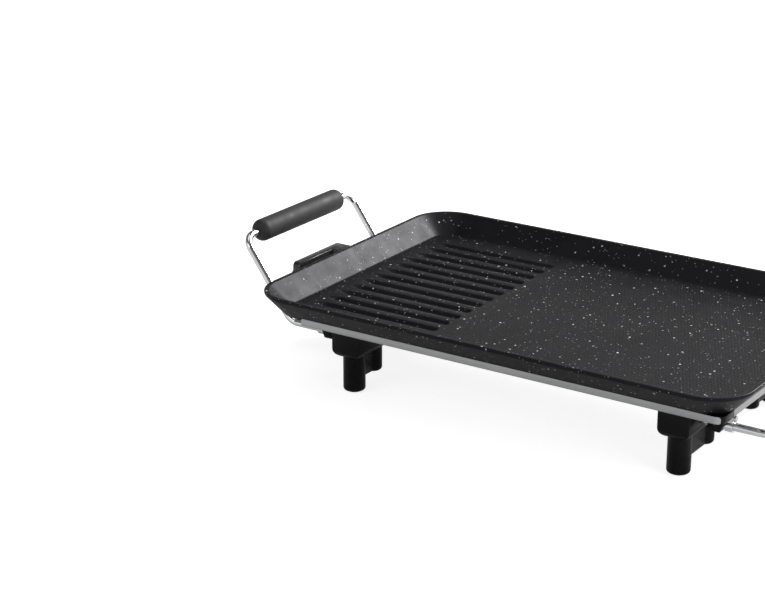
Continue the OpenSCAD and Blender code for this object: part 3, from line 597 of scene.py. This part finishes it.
def build_dial():
    """Print on the dial's face."""
    print_ring("dial_circle", CIRCLE_R, LINE_W, "white_ink")
    print_ring("dial_edge", EDGE_R, EDGE_W, "grey_ink")
    print_flat("dial_arrow", arrow_outlines(), "white_ink")
    plain = [box_outline(angle) for text, angle in BOX_ANGLES.items() if text != HOT_SETTING]
    print_flat("dial_boxes", plain, "white_ink")
    print_flat("dial_box_hot", [box_outline(BOX_ANGLES[HOT_SETTING])], "red_ink")
    for text, angle in BOX_ANGLES.items():
        print_digit(text, angle, -1, "black_ink", PRINT_T)
    print_digit("0", ZERO_ANGLE, 1, "white_ink", 0)


def build_index():
    """White pointer on the housing, over the knob."""
    bezel = node_box("dial_bezel")[1]
    tip = bezel.z + INDEX_GAP
    places = [Vector((bezel.x, -INDEX_HALF, tip + INDEX_H)), Vector((bezel.x, INDEX_HALF, tip + INDEX_H)),
              Vector((bezel.x, 0, tip))]
    bm = bmesh.new()
    add_solid(bm, [places, [p - Vector((PRINT_T, 0, 0)) for p in places]])
    placed(finish_mesh("index_mark", bm), "thermostat", "dial_face", look="white_ink")


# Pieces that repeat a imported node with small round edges: body, slot and width of the round
ROUNDED = {
    "leg_front_left": ("griddle", "bakelite", 0.7),
    "leg_front_right": ("griddle", "bakelite", 0.7),
    "leg_rear_left": ("griddle", "bakelite", 0.7),
    "leg_rear_right": ("griddle", "bakelite", 0.7),
    "handle_saddles": ("griddle", "bakelite", 0.6),
    "socket_shroud": ("griddle", "bakelite", 0.4),
    "control_front_case": ("thermostat", "housing_plastic", 0.5),
    "control_rear_case": ("thermostat", "housing_plastic", 0.7),
    "dial_bezel": ("thermostat", "housing_plastic", 0.3),
    "temperature_knob": ("knob", "knob_plastic", 0.2),
}
ROUND_SEGMENTS = 2
ROUND_FROM_ANGLE = 30
ROUNDED_SMOOTH_ANGLE = 40


def round_edges(node, body, slot, width):
    """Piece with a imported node's shape and small round edges, in place of that node."""
    bm = bmesh.new()
    bm.from_mesh(frame["nodes"][node].data)
    bmesh.ops.remove_doubles(bm, verts=bm.verts, dist=NODE_WELD * MM)
    bmesh.ops.dissolve_limit(bm, angle_limit=math.radians(FLAT_ANGLE), verts=bm.verts, edges=bm.edges)
    mesh = bpy.data.meshes.new(node + "_finish")
    bm.to_mesh(mesh)
    bm.free()
    piece = link(node + "_finish", mesh)
    bevel = piece.modifiers.new("round", "BEVEL")
    bevel.width = width * MM
    bevel.segments = ROUND_SEGMENTS
    bevel.limit_method = "ANGLE"
    bevel.angle_limit = math.radians(ROUND_FROM_ANGLE)
    bevel.use_clamp_overlap = False
    apply_modifiers(piece)
    reshade(piece, ROUNDED_SMOOTH_ANGLE)
    placed(piece, body, slot, node)


# Material helpers
NOISE_ROUGHNESS = 0.55


class Nodes:
    """A node tree, with short calls to add nodes and join them."""

    def __init__(self, tree):
        self.tree = tree

    def new(self, kind):
        """New shader node, whose kind is the last part of its type's name."""
        return self.tree.nodes.new("ShaderNode" + kind)

    def put(self, socket, value):
        """Joins a node's output to a socket, or sets the socket to a plain value or colour."""
        if isinstance(value, bpy.types.NodeSocket):
            self.tree.links.new(value, socket)
        elif isinstance(value, tuple) and socket.type == "RGBA":
            socket.default_value = (*value, 1)
        else:
            socket.default_value = value

    def calc(self, operation, *values):
        """Result of a sum on plain values or nodes' outputs."""
        node = self.new("Math")
        node.operation = operation
        for socket, value in zip(node.inputs, values):
            self.put(socket, value)
        return node.outputs[0]

    def mapped(self, value, from_min, from_max, to_min, to_max, smooth=False):
        """Value moved from one span to another and kept within it."""
        node = self.new("MapRange")
        if smooth:
            node.interpolation_type = "SMOOTHSTEP"
        names = ("Value", "From Min", "From Max", "To Min", "To Max")
        for name, item in zip(names, (value, from_min, from_max, to_min, to_max)):
            self.put(node.inputs[name], item)
        return node.outputs[0]

    def split(self, vector):
        """The X, Y and Z outputs of a vector."""
        node = self.new("SeparateXYZ")
        self.put(node.inputs["Vector"], vector)
        return node.outputs

    def ray(self, name):
        """1 for rays of the kind that a light path output names, such as Is Camera Ray."""
        return self.new("LightPath").outputs[name]

    def seen_ray(self):
        """1 for camera, glossy and transmission rays, and 0 for others."""
        mirrored = self.calc("MAXIMUM", self.ray("Is Glossy Ray"), self.ray("Is Transmission Ray"))
        return self.calc("MAXIMUM", mirrored, self.ray("Is Camera Ray"))


class Shader(Nodes):
    """A procedural material whose patterns lie in the part's own coordinates."""

    def __init__(self, name):
        self.material = bpy.data.materials.new(name)
        self.material.use_nodes = True
        super().__init__(self.material.node_tree)
        self.bsdf = self.tree.nodes["Principled BSDF"]
        self.where = self.new("TexCoord").outputs["Object"]

    def set(self, **values):
        """Sets the surface's inputs, whose names are given with an underscore for each space."""
        for name, value in values.items():
            self.put(self.bsdf.inputs[name.replace("_", " ")], value)

    def noise(self, scale, detail, stretch=(1, 1, 1)):
        """Noise with a scale in cells a metre, drawn out along the directions where stretch is small."""
        mapping = self.new("Mapping")
        mapping.inputs["Scale"].default_value = stretch
        self.put(mapping.inputs["Vector"], self.where)
        node = self.new("TexNoise")
        node.inputs["Scale"].default_value = scale
        node.inputs["Detail"].default_value = detail
        node.inputs["Roughness"].default_value = NOISE_ROUGHNESS
        self.put(node.inputs["Vector"], mapping.outputs["Vector"])
        return node.outputs["Fac"]

    def varied(self, scale, detail, span, low, high):
        """Value that drifts from low to high as a noise goes through a span."""
        return self.mapped(self.noise(scale, detail), *span, low, high)

    def mix(self, share, a, b):
        """Colour between a and b."""
        node = self.new("Mix")
        node.data_type = "RGBA"
        for socket, value in zip((node.inputs[0], node.inputs[6], node.inputs[7]), (share, a, b)):
            self.put(socket, value)
        return node.outputs[2]

    def bump(self, height, depth, strength, below=None):
        """Normal from a height pattern that is depth millimetres deep, over a normal below it."""
        node = self.new("Bump")
        node.inputs["Strength"].default_value = strength
        node.inputs["Distance"].default_value = depth * MM
        self.put(node.inputs["Height"], height)
        if below is not None:
            self.put(node.inputs["Normal"], below)
        return node.outputs["Normal"]


# Spans of a noise's values over which colour clouds, gloss and metal marks change
CLOUD_SPAN = (0.35, 0.7)
GLOSS_SPAN = (0.3, 0.75)
MARK_SPAN = (0.3, 0.7)


def plastic(name, color, rough, grain, depth, coat=0.0, shine=0.5):
    """Moulded plastic: slight mottling, uneven gloss and a fine grain, its size and depth in mm."""
    s = Shader(name)
    paler = tuple(c * 1.25 + 0.002 for c in color)
    s.set(Base_Color=s.mix(s.varied(28, 4, CLOUD_SPAN, 0, 1), color, paler),
          Roughness=s.varied(75, 5, GLOSS_SPAN, rough * 0.85, rough * 1.2),
          Normal=s.bump(s.noise(1 / (grain * MM), 2), depth, 0.35),
          Specular_IOR_Level=shine, Coat_Weight=coat, Coat_Roughness=0.12)
    return s.material


def metal(name, color, rough, stretch=(1, 1, 1), marks=900, depth=0.01, dull=0.8):
    """Metal with clouds of a duller colour and fine marks: their count a metre and their depth in mm."""
    s = Shader(name)
    duller = tuple(c * dull for c in color)
    fine = s.noise(marks, 4, stretch)
    s.set(Base_Color=s.mix(s.varied(22, 4, CLOUD_SPAN, 0, 1), duller, color),
          Roughness=s.mapped(fine, *MARK_SPAN, rough * 0.8, rough * 1.25),
          Normal=s.bump(fine, depth, 0.5), Metallic=1.0)
    return s.material


# Coating: ground colours from dark to pale, and speckle colours from faint to bright
COAT_DARK = (0.0088, 0.0088, 0.01)
COAT_PALE = (0.0128, 0.0128, 0.0142)
COAT_TINT = (0.94, 0.935, 1)
COAT_SHINE = 0.1
SPECK_FAINT = (0.055, 0.055, 0.058)
SPECK_DIM = (0.4, 0.4, 0.41)
SPECK_MIDDLE = (0.24, 0.24, 0.25)
SPECK_BRIGHT = (0.66, 0.66, 0.65)
SPECK_EDGE = 0.16

# Speckles: cell size, share of cells filled, least and most radius as shares of a cell, and two colours
SPECKLES = [(1.7, 0.5, 0.09, 0.2, COAT_PALE, SPECK_FAINT),
            (3.6, 0.8, 0.1, 0.2, SPECK_FAINT, SPECK_DIM),
            (7.6, 0.85, 0.075, 0.14, SPECK_MIDDLE, SPECK_BRIGHT)]

# Dimples of the flat zone, which fade in to the right of the grooves
DIMPLE_PITCH = 3.0 * MM
DIMPLE_R = 0.95 * MM
DIMPLE_CORE = DIMPLE_R * 0.35
DIMPLE_DEPTH = 0.16
DIMPLES_FROM_X = (GROOVE_X1 + 14) * MM
DIMPLES_FADE = 6 * MM
DIMPLES_BELOW_Z = (FLOOR_Z + 0.2) * MM


def speckles(s, cell, share, r_small, r_large):
    """Share of a speckle's colour at a place, and its brightness, from a random pattern of cells."""
    cells = s.new("TexVoronoi")
    cells.inputs["Scale"].default_value = 1 / (cell * MM)
    s.put(cells.inputs["Vector"], s.where)
    split = s.new("SeparateColor")
    s.put(split.inputs["Color"], cells.outputs["Color"])
    size = s.mapped(split.outputs["Red"], 1 - share, 1, r_small, r_large)
    inside = s.calc("SUBTRACT", size, cells.outputs["Distance"])
    filled = s.calc("GREATER_THAN", split.outputs["Red"], 1 - share)
    mask = s.calc("MULTIPLY", s.mapped(inside, 0, SPECK_EDGE / cell, 0, 1, True), filled)
    return mask, split.outputs["Green"]


def dimples(s):
    """Share of a dimple's depth at a place: rows of small round dots, every second row set off."""
    x, y, z = s.split(s.where)
    row = s.calc("FLOOR", s.calc("DIVIDE", y, DIMPLE_PITCH))
    shift = s.calc("MULTIPLY", s.calc("MODULO", s.calc("ABSOLUTE", row), 2.0), DIMPLE_PITCH / 2)
    u = s.calc("FLOORED_MODULO", s.calc("ADD", x, shift), DIMPLE_PITCH)
    v = s.calc("FLOORED_MODULO", y, DIMPLE_PITCH)
    across = s.calc("SUBTRACT", u, DIMPLE_PITCH / 2)
    along = s.calc("SUBTRACT", v, DIMPLE_PITCH / 2)
    squares = s.calc("ADD", s.calc("MULTIPLY", across, across), s.calc("MULTIPLY", along, along))
    dot = s.mapped(s.calc("SQRT", squares), DIMPLE_CORE, DIMPLE_R, 1, 0, True)
    low = s.calc("LESS_THAN", z, DIMPLES_BELOW_Z)
    right = s.mapped(x, DIMPLES_FROM_X, DIMPLES_FROM_X + DIMPLES_FADE, 0, 1)
    return s.calc("MULTIPLY", dot, s.calc("MULTIPLY", low, right))


def coating():
    """Satin black non-stick coating with pale speckles of three sizes and dimples in the flat zone."""
    s = Shader("speckled_coating")
    color = s.mix(s.varied(30, 5, CLOUD_SPAN, 0, 1), COAT_DARK, COAT_PALE)
    for *pattern, dim, bright in SPECKLES:
        mask, tone = speckles(s, *pattern)
        color = s.mix(mask, color, s.mix(tone, dim, bright))
    grain = s.bump(s.noise(1300, 3), 0.03, 0.35)
    height = s.calc("SUBTRACT", 1.0, dimples(s))
    s.set(Base_Color=color, Roughness=s.varied(60, 5, GLOSS_SPAN, 0.34, 0.46),
          Normal=s.bump(height, DIMPLE_DEPTH, 0.6, grain),
          Specular_IOR_Level=COAT_SHINE, Specular_Tint=COAT_TINT)
    return s.material


def chrome():
    """Polished chrome with a few duller clouds."""
    s = Shader("chrome_plate")
    s.set(Base_Color=(0.7, 0.705, 0.715), Roughness=s.varied(120, 5, (0.4, 0.8), 0.06, 0.16),
          Normal=s.bump(s.noise(500, 2), 0.006, 0.3), Metallic=1.0)
    return s.material


def ceramic():
    """Unglazed ceramic with a fine grain."""
    s = Shader("ceramic_bush")
    grain = s.noise(900, 4)
    s.set(Base_Color=s.mix(grain, (0.74, 0.70, 0.61), (0.84, 0.81, 0.74)), Roughness=0.55,
          Normal=s.bump(grain, 0.04, 0.4))
    return s.material


def lens():
    """Clear red plastic, deeper red in places."""
    s = Shader("red_lens")
    s.set(Base_Color=s.mix(s.noise(300, 2), (0.35, 0.012, 0.01), (0.6, 0.03, 0.02)), Roughness=0.12,
          Transmission_Weight=0.35, Coat_Weight=0.6)
    return s.material


def ink(name, color):
    """Printing ink, slightly uneven."""
    s = Shader(name)
    darker = tuple(c * 0.9 for c in color)
    s.set(Base_Color=s.mix(s.noise(600, 3), darker, color), Roughness=0.4)
    return s.material


# Looks: every slot of the record has a material, and the print has inks
PLASTICS = {
    "bakelite": dict(name="bakelite", color=(0.0034, 0.0034, 0.0036), rough=0.3, grain=0.9, depth=0.02,
                     shine=0.12),
    "foot_rubber": dict(name="foot_rubber", color=(0.012, 0.012, 0.0125), rough=0.72, grain=0.4,
                        depth=0.08),
    "grip_plastic": dict(name="grip_moulding", color=(0.03, 0.03, 0.0305), rough=0.56, grain=0.5,
                         depth=0.01, shine=0.2),
    "housing_plastic": dict(name="housing_moulding", color=(0.017, 0.017, 0.0175), rough=0.34, grain=0.6,
                            depth=0.02),
    "knob_plastic": dict(name="knob_moulding", color=(0.0075, 0.0075, 0.008), rough=0.22, grain=1.0,
                         depth=0.01, coat=0.3),
    "dial_face": dict(name="dial_film", color=(0.005, 0.005, 0.006), rough=0.3, grain=1.0, depth=0.01,
                      coat=0.4),
}
METALS = {
    "tray_metal": dict(name="brushed_band", color=(0.4, 0.403, 0.408), rough=0.36, dull=0.85,
                       stretch=(0.02, 0.02, 1), marks=2600, depth=0.008),
    "heater_sheath": dict(name="heater_sheath", color=(0.24, 0.235, 0.23), rough=0.5, dull=0.6),
    "zinc_steel": dict(name="zinc_plate", color=(0.60, 0.61, 0.62), rough=0.33),
    "cast_aluminium": dict(name="cast_aluminium", color=(0.52, 0.53, 0.54), rough=0.5, marks=500,
                           depth=0.05),
    "pin_metal": dict(name="nickel_plate", color=(0.62, 0.58, 0.50), rough=0.22),
    "brass": dict(name="brass", color=(0.55, 0.38, 0.14), rough=0.3),
    "probe_steel": dict(name="probe_steel", color=(0.62, 0.63, 0.65), rough=0.2),
    "bimetal": dict(name="bimetal_strip", color=(0.52, 0.3, 0.12), rough=0.35),
}
INKS = {"white_ink": (0.82, 0.82, 0.8), "grey_ink": (0.12, 0.12, 0.13), "red_ink": (0.62, 0.035, 0.02),
        "black_ink": (0.006, 0.006, 0.007)}
LOOKS = {"pan_coating": coating(), "chrome_wire": chrome(), "ceramic_bush": ceramic(), "red_lens": lens()}
LOOKS.update({slot: plastic(**values) for slot, values in PLASTICS.items()})
LOOKS.update({slot: metal(**values) for slot, values in METALS.items()})
LOOKS.update({name: ink(name, color) for name, color in INKS.items()})


def dress_nodes():
    """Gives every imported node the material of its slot."""
    for row in frame["record"]["subparts"]:
        show(frame["nodes"][row["node"]], LOOKS[row["material_slot"]])


# Table: its glow as the camera sees it, and as mirrors show it
TABLE_HALF = 6.0
TABLE_DARK = (0.6, 0.6, 0.6)
TABLE_PALE = (0.62, 0.62, 0.62)
TABLE_GLOW = 0.82
MIRRORED_GLOW = 0.22

# World: white up to one height of its direction, dim from another, and one level for diffuse light
WHITE_BELOW = 0.1
DIM_ABOVE = 0.45
OVERHEAD_LEVEL = 0.15
DIFFUSE_LEVEL = 0.25

# Lamps: direction from the griddle, distance, width and height, and power
LAMPS = {
    "lamp_back": ((0.28, 0.78, 0.57), 2.2, (1.3, 0.9), 80),
    "lamp_right": ((0.95, -0.25, 0.35), 2.4, (1.0, 1.4), 16),
    "lamp_front": ((-0.25, -0.9, 0.55), 2.6, (1.6, 1.0), 8),
    "lamp_top": ((-0.1, 0.0, 1.0), 2.4, (1.6, 1.6), 8),
}
LAMP_TARGET = (0, 0, 0.08)


def build_table():
    """White table that keeps the object's shadow."""
    mesh = bpy.data.meshes.new("table_top")
    h = TABLE_HALF
    mesh.from_pydata([(-h, -h, 0), (h, -h, 0), (h, h, 0), (-h, h, 0)], [], [(0, 1, 2, 3)])
    table = link("table_top", mesh)
    s = Shader("table_paper")
    mirrored = s.calc("MULTIPLY", s.seen_ray(), MIRRORED_GLOW)
    direct = s.calc("MULTIPLY", s.ray("Is Camera Ray"), TABLE_GLOW)
    s.set(Base_Color=s.mix(s.noise(3, 3), TABLE_DARK, TABLE_PALE), Roughness=1.0, Specular_IOR_Level=0.0,
          Emission_Color=(1, 1, 1), Emission_Strength=s.calc("MAXIMUM", mirrored, direct))
    show(table, s.material)


def build_world():
    """White behind the object, dimmer overhead in reflections, and a low even level for diffuse light."""
    world = bpy.data.worlds.new("studio")
    bpy.context.scene.world = world
    world.use_nodes = True
    n = Nodes(world.node_tree)
    up = n.split(n.new("TexCoord").outputs["Generated"])["Z"]
    overhead = n.mapped(up, WHITE_BELOW, DIM_ABOVE, 1.0, OVERHEAD_LEVEL)
    level = n.mapped(n.seen_ray(), 0, 1, DIFFUSE_LEVEL, overhead)
    background = n.tree.nodes["Background"]
    n.put(background.inputs["Color"], (1, 1, 1))
    n.put(background.inputs["Strength"], n.calc("MAXIMUM", level, n.ray("Is Camera Ray")))


def build_lamp(name, direction, distance, size, power):
    """Soft lamp that faces the griddle from a direction."""
    data = bpy.data.lights.new(name, "AREA")
    data.shape = "RECTANGLE"
    data.size, data.size_y = size
    data.energy = power
    o = link(name, data)
    away = Vector(direction).normalized()
    o.location = Vector(LAMP_TARGET) + away * distance
    o.rotation_mode = "QUATERNION"
    o.rotation_quaternion = away.to_track_quat("Z", "Y")


def build_camera():
    """Camera at the photograph's place."""
    data = bpy.data.cameras.new("photo_camera")
    data.lens = CAMERA_LENS
    data.sensor_width = SENSOR_WIDTH
    data.clip_start = CLIP_NEAR
    data.clip_end = CLIP_FAR
    camera = link("photo_camera", data)
    camera.location = CAMERA_PLACE
    camera.rotation_mode = "QUATERNION"
    camera.rotation_quaternion = Vector(CAMERA_FORWARD).to_track_quat("-Z", "Y")
    bpy.context.scene.camera = camera


build_camera()
build_table()
build_world()
for lamp_name, values in LAMPS.items():
    build_lamp(lamp_name, *values)

build_pan()
build_tray()
build_handle(-1, "left")
build_handle(1, "right")
build_dial()
build_index()
for node, values in ROUNDED.items():
    round_edges(node, *values)
dress_nodes()

bpy.context.scene.view_settings.view_transform = "Standard"
